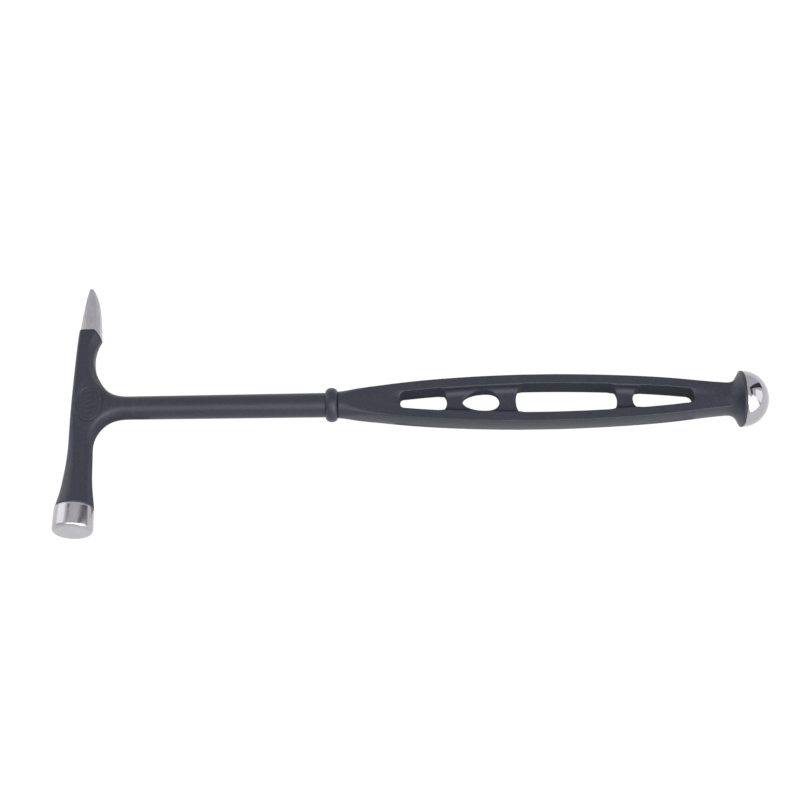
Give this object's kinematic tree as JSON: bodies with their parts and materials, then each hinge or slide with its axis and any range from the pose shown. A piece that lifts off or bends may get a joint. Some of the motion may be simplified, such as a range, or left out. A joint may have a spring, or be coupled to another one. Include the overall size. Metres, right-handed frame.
{
  "type": "rock hammer",
  "caption": "Small steel rock hammer with a pointed pick, a round striking face, a slim shaft, an openwork metal grip and a domed pommel.",
  "frame": {"origin": "middle of the bounding box's lower face, with the hammer lying on its side", "axes": "+X from the head to the pommel, +Y towards the pick, +Z across the thin side of the grip"},
  "size_m": [0.3297, 0.1262, 0.0264],
  "materials": {
    "powder_coat": "satin textured dark grey powder coat",
    "ground_steel": "bare steel with fine lengthwise grinding marks",
    "polished_steel": "bright polished bare steel",
    "hidden_steel": "plain machined steel, hidden inside"
  },
  "bodies": {
    "root": {"head_body": "powder_coat", "pick_point": "ground_steel", "striking_face": "polished_steel", "head_badge": "powder_coat", "head_pin": "hidden_steel", "shaft": "powder_coat", "collar_ring": "powder_coat", "grip_frame": "powder_coat", "grip_pin": "hidden_steel", "pommel_stud": "hidden_steel", "pommel_dome": "polished_steel"}
  },
  "joints": []
}
